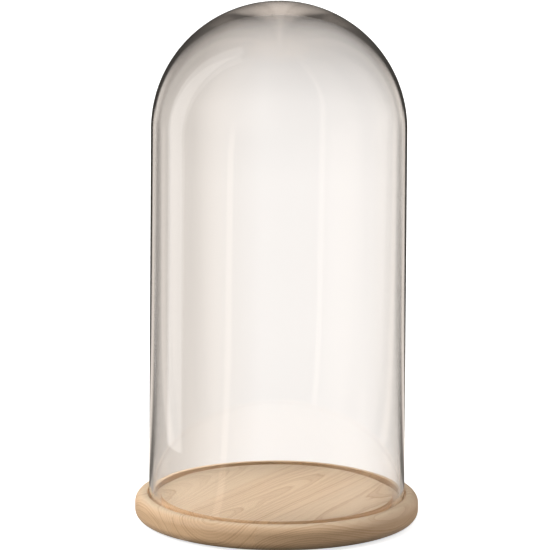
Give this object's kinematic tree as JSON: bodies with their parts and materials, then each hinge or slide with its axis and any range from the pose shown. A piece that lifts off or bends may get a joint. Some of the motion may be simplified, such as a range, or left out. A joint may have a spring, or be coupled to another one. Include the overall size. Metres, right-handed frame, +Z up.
{
  "type": "bell jar dome",
  "caption": "Clear glass dome with a half-round top, standing in the groove of a round, round-edged wooden display base; the dome lifts off.",
  "frame": {"origin": "centre of the object at the level it stands on, which is the underside of the felt pads", "axes": "+Z up along the dome's axis, +Y from the front of the base to its back, +X to the right"},
  "size_m": [0.28, 0.28, 0.5224],
  "materials": {
    "clear_glass": "polished, very slightly warm grey",
    "pale_wood": "pale ash-like wood, sanded smooth, clear satin finish",
    "felt": "pressed wool felt, pale beige"
  },
  "bodies": {
    "base": {"base_stave_1": "pale_wood", "base_stave_2": "pale_wood", "base_stave_3": "pale_wood", "felt_pad_1": "felt", "felt_pad_2": "felt", "felt_pad_3": "felt", "felt_pad_4": "felt"},
    "dome": {"glass_dome": "clear_glass"}
  },
  "joints": [
    {"name": "dome_lift", "type": "slide", "parent": "base", "child": "dome", "axis": [0, 0, 1], "range_m": [0, 0.51]}
  ]
}
